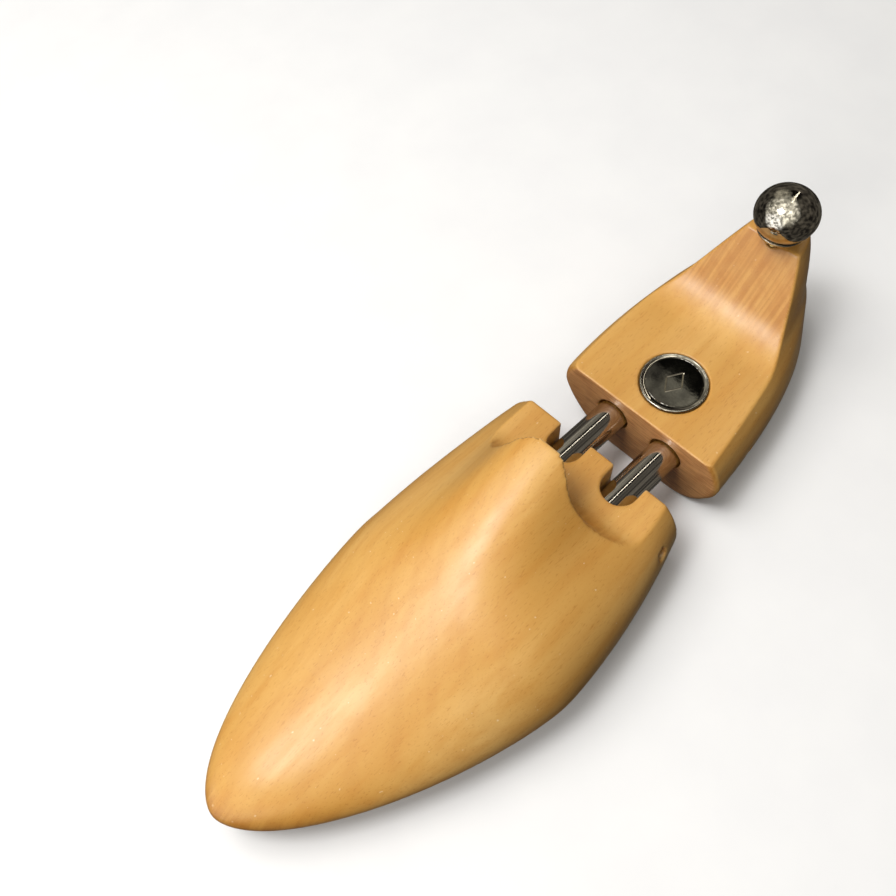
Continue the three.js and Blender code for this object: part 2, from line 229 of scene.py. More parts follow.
def block(name, low, high):
    corners = [(x, y, z) for x in (low[0], high[0]) for y in (low[1], high[1]) for z in (low[2], high[2])]
    faces = [(0, 1, 3, 2), (4, 6, 7, 5), (0, 4, 5, 1), (2, 3, 7, 6), (0, 2, 6, 4), (1, 5, 7, 3)]
    return new_object(name, corners, faces)


def cross_prism(name, outline):
    """An outline in the X-Z plane pushed through the whole width of a block."""
    reach = 2 * FORE_HALF
    count = len(outline)
    verts = [(x, side * reach, z) for side in (-1, 1) for x, z in outline]
    faces = [tuple(range(count)), tuple(range(2 * count - 1, count - 1, -1))]
    for i in range(count):
        after = (i + 1) % count
        faces.append((i, count + i, count + after, after))
    obj = new_object(name, verts, faces)
    bm = bmesh.new()
    bm.from_mesh(obj.data)
    bmesh.ops.recalc_face_normals(bm, faces=bm.faces)
    bm.to_mesh(obj.data)
    bm.free()
    return obj


def bake_modifiers(obj):
    depsgraph = bpy.context.evaluated_depsgraph_get()
    mesh = bpy.data.meshes.new_from_object(obj.evaluated_get(depsgraph))
    obj.modifiers.clear()
    obj.data = mesh


def carve(obj, cutters):
    for cutter in cutters:
        modifier = obj.modifiers.new("cut", "BOOLEAN")
        modifier.operation = "DIFFERENCE"
        modifier.solver = "EXACT"
        modifier.object = cutter
    bake_modifiers(obj)
    for cutter in cutters:
        bpy.data.objects.remove(cutter)


def ease_edges(obj, voxel, passes):
    """Wood is sanded after it is cut: an even fine mesh, with every edge a little rounded."""
    remesh = obj.modifiers.new("even", "REMESH")
    remesh.mode = "VOXEL"
    remesh.voxel_size = voxel
    smooth = obj.modifiers.new("sand", "SMOOTH")
    smooth.factor = 0.5
    smooth.iterations = passes
    bake_modifiers(obj)


def shade(obj, material, smooth=True):
    obj.data.materials.clear()
    obj.data.materials.append(material)
    obj.data.polygons.foreach_set("use_smooth", [smooth] * len(obj.data.polygons))
    obj.data.update()


# ---- forefoot block ----
def forefoot_half(x):
    if x < BALL:
        return FORE_HALF - REAR_NARROWING * ((BALL - x) / BALL) ** 2
    return FORE_HALF * max(0, 1 - ((x - BALL) / (FORE_LENGTH - BALL)) ** 1.4) ** 0.57


def forefoot_centre(x):
    rear = max(0, (60 * MM - x) / (60 * MM))
    front = max(0, (x - 65 * MM) / (FORE_LENGTH - 65 * MM))
    return MID_Y - 2.3 * MM * rear**1.5 - TOE_SWING * front**1.25


def toe_closing(x, start):
    return math.sqrt(max(0, 1 - max(0, (x - start) / (FORE_LENGTH - start)) ** 3))


def forefoot_rise(x):
    return (TOE_RISE + CREST_RISE * (1 - smoothstep(x, 0, 145 * MM))) * toe_closing(x, 105 * MM)


def forefoot_drop(x):
    rear_lift = 4 * MM * (1 - smoothstep(x, 0, 40 * MM))
    toe_lift = TOE_SPRING * smoothstep(x, 105 * MM, 167 * MM)
    return (WAIST_Z + SOLE_CUT - rear_lift - toe_lift) * toe_closing(x, 145 * MM)


def forefoot_ring(x, count):
    """A body with the instep ridge on it, fuller on the outer side, and a flattened sole."""
    middle, half = forefoot_centre(x), forefoot_half(x)
    ridge = RIDGE_RISE * (1 - smoothstep(x, 15 * MM, 80 * MM))
    body, drop = forefoot_rise(x) - ridge, forefoot_drop(x)
    outer_fullness = 2 / mix(2.45, 2, smoothstep(x, 0, 120 * MM))
    ring = []
    for i in range(count):
        angle = 2 * math.pi * i / count
        across, up = math.cos(angle), math.sin(angle)
        fullness = outer_fullness if across > 0 else 1
        power = fullness if up >= 0 else SOLE_POWER
        y = middle + half * math.copysign(abs(across) ** power, across)
        reach = RIDGE_OUTER if y > RIDGE_Y else RIDGE_INNER
        on_ridge = ridge * math.exp(-(abs((y - RIDGE_Y) / reach) ** 3))
        z = body * up**fullness + on_ridge * up**0.3 if up >= 0 else drop * up
        ring.append((REAR_X + x, y, WAIST_Z + z))
    return ring


def make_forefoot():
    stations = 150
    spreads = [math.sin(math.pi / 2 * i / stations) for i in range(stations)]
    rings = [forefoot_ring(FORE_LENGTH * spread, 160) for spread in spreads]
    rear = (REAR_X, forefoot_centre(0), WAIST_Z)
    toe = (fore_high[0], forefoot_centre(FORE_LENGTH), WAIST_Z)
    wood = loft("forefoot_wood", rings, rear, toe)
    cutters = [scoop_cutter(), ground_cutter(), pin_hole(FORE_PIN)]
    for y in TUBE_Y.values():
        cutters += notch_cutters(y)
    carve(wood, cutters)
    ease_edges(wood, WOOD_VOXEL, 5)
    return wood


def scoop_cutter():
    """The shelf, the hollow that rises from it and the slope that leans back to the lip."""
    steps = 40
    lean = math.pi / 4
    behind = REAR_X - CUT_OVER
    centre_x, centre_z = REAR_X + SCOOP_X, LEDGE_Z + SCOOP_R
    outline = [(behind, LEDGE_Z)]
    for i in range(steps + 1):
        angle = mix(-math.pi / 2, lean, i / steps)
        outline.append((centre_x + SCOOP_R * math.cos(angle), centre_z + SCOOP_R * math.sin(angle)))
    top = WAIST_Z + TOE_RISE + CREST_RISE + CUT_OVER
    bend_x, bend_z = outline[-1]
    outline += [(bend_x - (top - bend_z) * math.tan(lean), top), (behind, top)]
    return cross_prism("scoop_cutter", outline)


def ground_cutter():
    reach = 0.3
    return block("ground_cutter", (-reach, -reach, -0.02), (reach, reach, 0))


def pin_hole(along):
    inner_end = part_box("forefoot_cross_pin")[0][1] - GAP
    hole = rod("pin_hole", PIN_R + GAP, (along, inner_end, 0), 2 * FORE_HALF, "Y", 48)
    hole.data.transform(ON_SLIDE)
    return hole


def slide_bore(radius, start, end, y):
    bore = rod("bore_cutter", radius, (start, y, 0), end - start, "X")
    bore.data.transform(ON_SLIDE)
    return bore


def notch_cutters(y):
    notch_end = 5.5 * MM
    top = LEDGE_Z + CUT_OVER
    low_corner = (REAR_X - CUT_OVER, y - BORE_R, TUBE_Z)
    slot = block("notch_slot", low_corner, (REAR_X + notch_end, y + BORE_R, top))
    round_end = rod("notch_round", BORE_R, (REAR_X + notch_end, y, TUBE_Z), top - TUBE_Z, "Z")
    tube_front = TUBE_MIDDLE + TUBE_LENGTH / 2
    mouth = slide_bore(BORE_R, -CUT_OVER, notch_end, y)
    return [slot, round_end, mouth, slide_bore(TUBE_R + GAP, -CUT_OVER, tube_front + GAP, y)]


# ---- heel block ----
# (height, half width at the face, centre there, shift of the centre to the inner side,
# distance of the rearmost point from the back of the block, taper and bluntness of the plan)
HEEL_LEVELS = [
    (0, 17, 4, 2, 14, 2.4, 0.5),
    (1, 20.5, 4.2, 2, 10.5, 2.5, 0.5),
    (3.5, 25, 4, 2, 7, 2.5, 0.48),
    (8, 29.5, 3, 2.5, 3, 2.4, 0.48),
    (14, 33.6, 1.8, 3, 0.8, 2.3, 0.46),
    (20, 35.3, 0.6, 4.5, 0, 2.3, 0.46),
    (26, 33.8, 0, 4.8, 0, 2, 0.4),
    (31, 30.6, -0.3, 5.3, 0.2, 1.6, 0.305),
    (34, 27.2, -0.4, 5.3, 0.4, 2, 0.31),
    (37, 23.8, -0.4, 5.3, 0.5, 3, 0.325),
    (45, 18, -0.3, 5.3, 0.8, 6, 0.35),
    (54.5, 11.6, -0.3, 5.3, 2.2, 12, 0.3),
]


def heel_level(height):
    """The plan's figures at any height, on smooth curves through the levels."""
    table = np.array(HEEL_LEVELS, float)
    heights = table[:, 0]
    return [pchip(heights, table[:, column], height) for column in range(1, 7)]


def pchip(xs, ys, x):
    """A curve through the points that never overshoots them."""
    steps, slopes = np.diff(xs), np.diff(ys) / np.diff(xs)
    tangents = np.zeros_like(ys)
    for i in range(1, len(xs) - 1):
        if slopes[i - 1] * slopes[i] > 0:
            w1, w2 = 2 * steps[i] + steps[i - 1], steps[i] + 2 * steps[i - 1]
            tangents[i] = (w1 + w2) / (w1 / slopes[i - 1] + w2 / slopes[i])
    tangents[0], tangents[-1] = slopes[0], slopes[-1]
    k = int(np.clip(np.searchsorted(xs, x, "right") - 1, 0, len(xs) - 2))
    t = (x - xs[k]) / steps[k]
    rising = ys[k] * (1 + 2 * t) * (1 - t) ** 2 + ys[k + 1] * t * t * (3 - 2 * t)
    return rising + steps[k] * (tangents[k] * t * (1 - t) ** 2 - tangents[k + 1] * t * t * (1 - t))


def heel_ring(height, side_steps):
    half, centre, shift, inset, taper, bluntness = heel_level(height)
    corner = 2.5
    face = (FACE_X - REAR_X) / MM
    back = HEEL_BACK / MM - inset
    length = back + face
    outer = []
    for angle in np.linspace(0, math.pi / 2, 6)[:-1]:
        x = face - corner + corner * math.cos(angle)
        outer.append((x, half - corner + corner * math.sin(angle), centre))
    for i in range(side_steps):
        t = mix(corner / length, 1, math.sin(math.pi / 2 * i / side_steps))
        side = half * max(0, 1 - t**taper) ** bluntness
        outer.append((face - t * length, side, centre - shift * t**0.75))
    tail = (-back, 0, centre - shift)
    inner = [(x, -side, middle) for x, side, middle in reversed(outer)]
    points = outer + [tail] + inner
    return [(REAR_X + x * MM, MID_Y + (middle + side) * MM, height * MM) for x, side, middle in points]


def heel_top_cutter():
    steps = 30
    top = PLATEAU_Z + CUT_OVER
    ahead = FACE_X + 10 * MM
    outline = [(ahead, top), (ahead, HEEL_TOP_Z)]
    for i in range(steps + 1):
        angle = RAMP_ANGLE * i / steps
        outline.append((BEND_START - BEND_R * math.sin(angle), HEEL_TOP_Z + BEND_R * (1 - math.cos(angle))))
    bend_x, bend_z = outline[-1]
    outline.append((bend_x - (top - bend_z) / math.tan(RAMP_ANGLE), top))
    return cross_prism("heel_top_cutter", outline)


def make_heel():
    top = PLATEAU_Z / MM
    levels = 70
    heights = [top * (1 - math.cos(math.pi / 2 * i / levels)) for i in range(levels + 1)]
    rings = [heel_ring(height, 90) for height in heights]
    middle_x = (heel_low[0] + heel_high[0]) / 2
    wood = loft("heel_wood", rings, (middle_x, MID_Y, 0), (middle_x, MID_Y, PLATEAU_Z))
    plaque, insert = box_centre("plaque_disc"), box_centre("threaded_insert")
    recess_start = (plaque.x, plaque.y, HEEL_TOP_Z - PLAQUE_DEPTH)
    recess = rod("recess", box_size("plaque_disc").x / 2 + GAP, recess_start, 10 * MM, "Z", 128)
    socket_start = (insert.x, insert.y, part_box("threaded_insert")[0][2] - GAP)
    socket = rod("socket", box_size("threaded_insert").x / 2 + GAP, socket_start, 30 * MM, "Z")
    bores = [slide_bore(BORE_R, HEEL_BORE_END, 0, y) for y in TUBE_Y.values()]
    carve(wood, [heel_top_cutter(), recess, socket, pin_hole(HEEL_PIN), *bores])
    ease_edges(wood, HEEL_VOXEL, 4)
    return wood


# ---- metal pieces ----
def on_slide(obj):
    obj.data.transform(ON_SLIDE)
    return obj


def make_tube(side):
    """A polished tube with rounded ends, cross holes for the front pin and slots for the rear one."""
    y = TUBE_Y[side]
    back, front = TUBE_MIDDLE - TUBE_LENGTH / 2, TUBE_MIDDLE + TUBE_LENGTH / 2
    ease = 0.25 * MM
    length = front - back
    profile = [
        (TUBE_BORE_R, ease),
        (TUBE_BORE_R + ease, 0),
        (TUBE_R - ease, 0),
        (TUBE_R, ease),
        (TUBE_R, length - ease),
        (TUBE_R - ease, length),
        (TUBE_BORE_R + ease, length),
        (TUBE_BORE_R, length - ease),
        (TUBE_BORE_R, ease),
    ]
    tube = turned(f"{side}_tube", profile, 96, (back, y, 0), "X")
    slot_half = PIN_R + GAP
    reach = 2 * TUBE_R
    hole = rod("front_hole", slot_half, (FORE_PIN, y - reach, 0), 2 * reach, "Y", 48)
    slot_ends = [
        rod("slot_end", slot_half, (x, y - reach, 0), 2 * reach, "Y", 48)
        for x in (HEEL_PIN, HEEL_PIN + TRAVEL)
    ]
    slot = block("slot", (HEEL_PIN, y - reach, -slot_half), (HEEL_PIN + TRAVEL, y + reach, slot_half))
    carve(tube, [hole, *slot_ends, slot])
    return on_slide(tube)


def make_spring(side):
    """A round wire coil with its first and last turns closed up."""
    length = slide_length(f"{side}_spring", SPRING_OUTER_R)
    start = along_slide(f"{side}_spring") - length / 2 + WIRE_R
    coil_r = box_size(f"{side}_spring").y / 2 - WIRE_R
    closed_share = 1 / SPRING_TURNS
    closed_pitch = 2 * WIRE_R + 0.4 * MM
    open_length = length - 2 * WIRE_R - 2 * closed_pitch
    steps, sides = SPRING_TURNS * 32, 12
    forward = Vector((1, 0, 0))
    rings = []
    for step in range(steps + 1):
        t = step / steps
        in_open = min(max((t - closed_share) / (1 - 2 * closed_share), 0), 1)
        closing = min(t / closed_share, 1) + max((t - 1) / closed_share + 1, 0)
        along = start + closed_pitch * closing + open_length * in_open
        turn = 2 * math.pi * SPRING_TURNS * t
        outward = Vector((0, math.cos(turn), math.sin(turn)))
        centre = Vector((along, TUBE_Y[side], 0)) + coil_r * outward
        angles = [2 * math.pi * i / sides for i in range(sides)]
        rings.append([centre + WIRE_R * (math.cos(a) * outward + math.sin(a) * forward) for a in angles])
    middles = [sum(ring, Vector()) / sides for ring in (rings[0], rings[-1])]
    coil = on_slide(loft(f"{side}_coil", rings, *middles))
    recalculate_normals(coil)
    return coil


def make_pin(name, node):
    """A ground pin with a small chamfer at both ends."""
    low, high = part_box(node)
    chamfer = 0.4 * MM
    length = high[1] - low[1]
    profile = [
        (0, 0),
        (PIN_R - chamfer, 0),
        (PIN_R, chamfer),
        (PIN_R, length - chamfer),
        (PIN_R - chamfer, length),
        (0, length),
    ]
    return on_slide(turned(name, profile, 64, (along_slide(node), low[1], 0), "Y"))


def make_turned_slug(name, node, dished):
    """A chamfered brass seat on the tube's axis, with a shallow dish for the spring."""
    radius = box_size(node).y / 2
    length = slide_length(node, radius)
    start = (along_slide(node) - length / 2, box_centre(node).y, 0)
    chamfer, dish_r, dish = 0.4 * MM, 2.5 * MM, 0.8 * MM
    back, front = [(0, 0)], [(0, length)]
    if dished == "back":
        back = [(0, dish), (dish_r, dish), (dish_r, 0)]
    else:
        front = [(dish_r, length), (dish_r, length - dish), (0, length - dish)]
    rim = [(radius - chamfer, 0), (radius, chamfer), (radius, length - chamfer), (radius - chamfer, length)]
    return on_slide(turned(name, back + rim + front, 64, start, "X"))


def make_bush(side):
    """A flanged nylon bush: its rim bears in the heel block, its neck sits in the tube."""
    node = f"{side}_tail_bush"
    rim_r = box_size(node).y / 2
    length = slide_length(node, (rim_r + TUBE_BORE_R) / 2)
    neck_r = TUBE_BORE_R - GAP
    rim, ease = 3 * MM, 0.4 * MM
    profile = [
        (0, 0),
        (rim_r - ease, 0),
        (rim_r, ease),
        (rim_r, rim - ease),
        (rim_r - ease, rim),
        (neck_r, rim),
        (neck_r, length - ease),
        (neck_r - ease, length),
        (0, length),
    ]
    start = TUBE_MIDDLE - TUBE_LENGTH / 2 - GAP - rim
    return on_slide(turned(f"{side}_bush", profile, 64, (start, TUBE_Y[side], 0), "X"))


def rounded(corners, radius, steps=5):
    """The outline with every inner corner rounded off."""
    points = [Vector(corner) for corner in corners]
    out = [tuple(points[0])]
    for before, corner, after in zip(points, points[1:], points[2:]):
        start = corner + (before - corner).normalized() * radius
        end = corner + (after - corner).normalized() * radius
        for i in range(steps + 1):
            t = i / steps
            out.append(tuple((1 - t) ** 2 * start + 2 * t * (1 - t) * corner + t * t * end))
    out.append(tuple(points[-1]))
    return out


def make_knob():
    """A flattened ball over a thin bright plate on a short waisted neck."""
    low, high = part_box("knob_dome")
    middle = box_centre("knob_dome")
    radius = (high[0] - low[0]) / 2
    half_height = 9.5 * MM
    equator = high[2] - half_height - low[2]
    steps = 40
    foot_angle = -math.asin(equator / half_height)
    profile = [(0, 0)]
    for i in range(steps):
        angle = mix(foot_angle, math.pi / 2, i / steps)
        profile.append((radius * math.cos(angle), equator + half_height * math.sin(angle)))
    profile.append((0, high[2] - low[2]))
    dome = turned("knob_ball", profile, 128, (middle.x, middle.y, low[2]))

    plate = make_ring("knob_plate", "knob_flange", STUD_BORE_R, 0.25 * MM)
    neck_low, neck_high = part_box("knob_collar")
    neck_r = box_size("knob_collar").x / 2
    height = neck_high[2] - neck_low[2]
    waist = 0.7 * MM
    flare = [
        (neck_r - waist * math.sin(math.pi * i / 12), height * i / 12)
        for i in range(13)
    ]
    profile = [(STUD_BORE_R, 0), *flare, (STUD_BORE_R, height), (STUD_BORE_R, 0)]
    neck = turned("knob_neck", profile, 96, (middle.x, middle.y, neck_low[2]))
    return dome, plate, neck


def make_ring(name, node, bore_r, ease):
    """A flat ring with eased outer edges."""
    low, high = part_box(node)
    radius, height = (high[0] - low[0]) / 2, high[2] - low[2]
    corners = [(bore_r, 0), (radius, 0), (radius, height), (bore_r, height)]
    profile = rounded(corners, ease) + [(bore_r, 0)]
    return turned(name, profile, 96, (*box_centre(node)[:2], low[2]))


def make_threaded(name, node, bore_r, pitch, depth):
    """A screwed piece: ridges all the way up, which read as a thread."""
    low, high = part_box(node)
    radius, height = (high[0] - low[0]) / 2, high[2] - low[2]
    count = int(height / pitch)
    step = height / count
    profile = [(bore_r, 0)]
    for i in range(count):
        profile += [(radius - depth, i * step), (radius, (i + 0.5) * step)]
    profile += [(radius - depth, height), (bore_r, height)]
    if bore_r > 0:
        profile.append((bore_r, 0))
    return turned(name, profile, 64, (*box_centre(node)[:2], low[2]))


def make_plaque():
    """A thin disc with a raised polished rim, a ring groove and a plain lozenge."""
    low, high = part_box("plaque_disc")
    middle = box_centre("plaque_disc")
    radius, height = (high[0] - low[0]) / 2, high[2] - low[2]
    rim, dip, groove = 0.7 * MM, 0.18 * MM, 0.12 * MM
    field_r = radius - rim
    profile = [
        (0, 0),
        (radius - 0.2 * MM, 0),
        (radius, 0.2 * MM),
        (radius, height - 0.3 * MM),
        (radius - 0.2 * MM, height - 0.05 * MM),
        (radius - 0.35 * MM, height),
        (field_r, height - 0.04 * MM),
        (field_r - 0.2 * MM, height - dip),
        (field_r - 1.2 * MM, height - dip),
        (field_r - 1.3 * MM, height - dip - groove),
        (field_r - 1.5 * MM, height - dip - groove),
        (field_r - 1.6 * MM, height - dip),
        (0, height - dip),
    ]
    disc = turned("plaque", profile, 160, (middle.x, middle.y, low[2]))
    top = high[2] - dip
    cutters = []
    lozenge_long, lozenge_wide, line = 5.4 * MM, 3.4 * MM, 0.3 * MM
    corners = [(lozenge_long, 0), (0, lozenge_wide), (-lozenge_long, 0), (0, -lozenge_wide)]
    for (x0, y0), (x1, y1) in zip(corners, corners[1:] + corners[:1]):
        cutters.append(engraved_line(middle, (x0, y0), (x1, y1), line, top))
    carve(disc, cutters)
    return disc


def engraved_line(middle, start, end, half_width, top):
    """A V-shaped cutter for a straight groove, as deep as its half width."""
    start, end = Vector(start), Vector(end)
    direction = (end - start).normalized()
    side = Vector((-direction.y, direction.x)) * half_width
    depth = half_width
    bottom = [(point, -depth) for point in (start, end)]
    reach = 2 * side
    upper = [(point, depth) for point in (start - reach, end - reach, end + reach, start + reach)]
    verts = [(middle.x + point.x, middle.y + point.y, top + height) for point, height in bottom + upper]
    faces = [(0, 2, 3, 1), (0, 1, 4, 5), (0, 5, 2), (1, 3, 4), (2, 5, 4, 3)]
    cutter = new_object("engraving", verts, faces)
    recalculate_normals(cutter)
    return cutter


# ---- materials ----
class Nodes:
    """Short calls for building one procedural node tree, in a material or in the world."""

    def __init__(self, name, world=False):
        owner = bpy.data.worlds.new(name) if world else bpy.data.materials.new(name)
        owner.use_nodes = True
        self.owner = owner
        self.tree = owner.node_tree
        self.shader = self.tree.nodes["Background" if world else "Principled BSDF"]
        self.place = self.add("ShaderNodeTexCoord").outputs["Generated" if world else "Object"]

    def add(self, kind, **settings):
        node = self.tree.nodes.new(kind)
        for key, value in settings.items():
            setattr(node, key, value)
        return node

    def link(self, source, target):
        self.tree.links.new(source, target)

    def stretched(self, scale, turn=(0, 0, 0)):
        """The piece's own coordinates, scaled per metre along each axis."""
        mapping = self.add("ShaderNodeMapping")
        mapping.inputs["Scale"].default_value = scale
        mapping.inputs["Rotation"].default_value = turn
        self.link(self.place, mapping.inputs["Vector"])
        return mapping.outputs["Vector"]

    def noise(self, vector, scale=1, detail=3, roughness=0.5, distortion=0):
        node = self.add("ShaderNodeTexNoise")
        node.inputs["Scale"].default_value = scale
        node.inputs["Detail"].default_value = detail
        node.inputs["Roughness"].default_value = roughness
        node.inputs["Distortion"].default_value = distortion
        self.link(vector, node.inputs["Vector"])
        return node.outputs["Fac"]

    def ramp(self, value, stops):
        node = self.add("ShaderNodeValToRGB")
        elements = node.color_ramp.elements
        while len(elements) < len(stops):
            elements.new(0.5)
        for element, (position, colour) in zip(elements, stops):
            element.position = position
            element.color = (*colour, 1) if len(colour) == 3 else colour
        self.link(value, node.inputs["Fac"])
        return node.outputs["Color"]

    def levels(self, value, low, high, to_low=0.0, to_high=1.0):
        node = self.add("ShaderNodeMapRange", clamp=True)
        node.inputs["From Min"].default_value = low
        node.inputs["From Max"].default_value = high
        node.inputs["To Min"].default_value = to_low
        node.inputs["To Max"].default_value = to_high
        self.link(value, node.inputs["Value"])
        return node.outputs["Result"]

    def blend(self, base, top, factor, mode="MIX"):
        node = self.add("ShaderNodeMix", data_type="RGBA", blend_type=mode)
        for socket, value in ((node.inputs[0], factor), (node.inputs[6], base), (node.inputs[7], top)):
            if isinstance(value, bpy.types.NodeSocket):
                self.link(value, socket)
            elif isinstance(value, tuple):
                socket.default_value = (*value, 1)
            else:
                socket.default_value = value
        return node.outputs[2]

    def math(self, operation, a, b):
        node = self.add("ShaderNodeMath", operation=operation)
        for socket, value in zip(node.inputs, (a, b)):
            if isinstance(value, bpy.types.NodeSocket):
                self.link(value, socket)
            else:
                socket.default_value = value
        return node.outputs[0]

    def bump(self, height, strength, distance):
        node = self.add("ShaderNodeBump")
        node.inputs["Strength"].default_value = strength
        node.inputs["Distance"].default_value = distance
        self.link(height, node.inputs["Height"])
        self.link(node.outputs["Normal"], self.shader.inputs["Normal"])

    def set(self, **sockets):
        for name, value in sockets.items():
            self.shader.inputs[name.replace("_", " ")].default_value = value

    def drive(self, **sockets):
        for name, value in sockets.items():
            self.link(value, self.shader.inputs[name.replace("_", " ")])


def beech_material():
    """Lacquered beech, its grain along X: soft streaks, growth rings and short flecks, with a painted
    highlight along the edges, painted shade in the hollows and painted shade on faces that tilt towards X.
    """
    n = Nodes("lacquered_beech")
    broad = n.noise(n.stretched((9, 42, 42)), detail=2)
    streaks = n.noise(n.stretched((16, 240, 240)), detail=4, roughness=0.6)
    colour = n.ramp(broad, [(0.3, HONEY_DEEP), (0.5, HONEY), (0.7, HONEY_PALE)])
    streak = n.levels(streaks, 0.42, 0.66, 0, 0.42)
    colour = n.blend(colour, AMBER, streak)

    rings = n.add("ShaderNodeTexWave", wave_type="RINGS", rings_direction="X")
    rings.inputs["Scale"].default_value = 1
    rings.inputs["Distortion"].default_value = 1.6
    rings.inputs["Detail"].default_value = 2
    rings.inputs["Detail Scale"].default_value = 0.6
    ring_place = n.stretched((20, 75, 75))
    shift = n.add("ShaderNodeVectorMath", operation="ADD")
    shift.inputs[1].default_value = (0, 6, 11)
    n.link(ring_place, shift.inputs[0])
    n.link(shift.outputs[0], rings.inputs["Vector"])
    ring = n.levels(rings.outputs["Fac"], 0.55, 1, 0, 0.1)
    colour = n.blend(colour, BARK, ring, "MULTIPLY")

    flecks = n.noise(n.stretched((420, 2600, 2600)), detail=1)
    fleck = n.levels(flecks, 0.6, 0.74, 0, 0.5)
    colour = n.blend(colour, BARK, fleck, "MULTIPLY")
    nicks = n.noise(n.stretched((900, 900, 900)), detail=0)
    nick = n.levels(nicks, 0.845, 0.87, 0, 0.5)
    colour = n.blend(colour, NICK, nick)

    geometry = n.add("ShaderNodeNewGeometry")
    # Painted highlight: sharp convex edges, found by pointiness, are painted pale.
    edge = n.levels(geometry.outputs["Pointiness"], 0.53, 0.6, 0, 0.75)
    # Painted shade: concave hollows, found by pointiness, are painted a darker amber.
    hollow = n.levels(geometry.outputs["Pointiness"], 0.47, 0.42, 0, 0.5)
    colour = n.blend(colour, EDGE_HIGHLIGHT, edge)
    colour = n.blend(colour, AMBER, hollow)

    # The ramp is cut across the layers of the grain, so close darker lines show on it. The same mask also
    # darkens every face that tilts towards X, the ramp most, as painted shade.
    normal = n.add("ShaderNodeSeparateXYZ")
    n.link(geometry.outputs["True Normal"], normal.inputs[0])
    facing = n.math("ABSOLUTE", normal.outputs["X"], 0)
    layers = n.noise(n.stretched((12, 620, 30)), detail=2)
    layer_lines_and_shade = n.math("MULTIPLY", n.levels(facing, 0.3, 0.66), n.levels(layers, 0.4, 0.6, 0.45, 0.95))
    colour = n.blend(colour, LAYER_LINES_AND_SHADE, layer_lines_and_shade, "MULTIPLY")

    # End grain shows on faces that look along X: darker, redder and closer lined.
    end_grain = n.levels(facing, 0.8, 0.97, 0, 0.75)
    lines = n.noise(n.stretched((200, 130, 1200), (math.radians(-32), 0, 0)), detail=3)
    end_colour = n.ramp(lines, [(0.3, END_DARK), (0.62, END_PALE)])
    colour = n.blend(colour, end_colour, end_grain)

    n.drive(Base_Color=colour)
    n.drive(Roughness=n.levels(streaks, 0.3, 0.7, 0.3, 0.44))
    n.set(Coat_Weight=0.5, Coat_Roughness=0.29, Specular_IOR_Level=0.4)
    relief = n.math("ADD", n.math("MULTIPLY", streaks, 0.6), n.math("MULTIPLY", flecks, -0.5))
    n.bump(relief, 0.12, 0.0002)
    return n.owner


def metal_material(name, colour, tint, roughness, scratch_scale, stain=0.25):
    """Plated or drawn metal: cloudy tarnish, fine scratches and a little unevenness."""
    n = Nodes(name)
    clouds = n.noise(n.stretched((140, 140, 140)), detail=4, roughness=0.6, distortion=0.6)
    scratches = n.noise(n.stretched(scratch_scale), detail=2)
    base = n.blend(colour, tint, n.levels(clouds, 0.4, 0.7, 0, stain))
    n.drive(Base_Color=base)
    rough_low, rough_high = roughness
    wear = n.math("ADD", n.math("MULTIPLY", clouds, 0.6), n.math("MULTIPLY", scratches, 0.4))
    n.drive(Roughness=n.levels(wear, 0.3, 0.7, rough_low, rough_high))
    n.set(Metallic=1)
    n.bump(scratches, 0.05, 0.00005)
    return n.owner


def nickel_material(name, dent_strength, roughness):
    """Dark nickel plate whose polish isn't quite even, so that reflections break into patches."""
    n = Nodes(name)
    clouds = n.noise(n.stretched((210, 210, 210)), detail=3, roughness=0.55)
    dents = n.noise(n.stretched((430, 430, 430)), detail=2)
    n.drive(Base_Color=n.ramp(clouds, [(0.35, NICKEL_DARK), (0.7, NICKEL_PALE)]))
    n.drive(Roughness=n.levels(clouds, 0.3, 0.7, *roughness))
    n.set(Metallic=1)
    n.bump(dents, dent_strength, 0.0004)
    return n.owner


def soft_material(name, colour, tint, roughness, grain):
    """Moulded nylon or foam: slight cloudiness and a fine surface grain."""
    n = Nodes(name)
    clouds = n.noise(n.stretched((160, 160, 160)), detail=3)
    pores = n.noise(n.stretched((grain, grain, grain)), detail=2)
    n.drive(Base_Color=n.blend(colour, tint, n.levels(clouds, 0.35, 0.7, 0, 0.7)))
    n.drive(Roughness=n.levels(pores, 0.3, 0.7, roughness - 0.08, roughness + 0.08))
    n.bump(pores, 0.2, 0.0001)
    return n.owner


HONEY = (0.69, 0.375, 0.095)
HONEY_PALE = (0.76, 0.45, 0.14)
HONEY_DEEP = (0.63, 0.315, 0.065)
AMBER = (0.6, 0.265, 0.045)
BARK = (0.72, 0.55, 0.4)
LAYER_LINES_AND_SHADE = (0.7, 0.57, 0.42)
NICK = (0.9, 0.72, 0.45)
EDGE_HIGHLIGHT = (0.88, 0.62, 0.3)
END_DARK = (0.37, 0.14, 0.05)
END_PALE = (0.7, 0.36, 0.15)
NICKEL_DARK = (0.34, 0.32, 0.28)
NICKEL_PALE = (0.56, 0.53, 0.46)

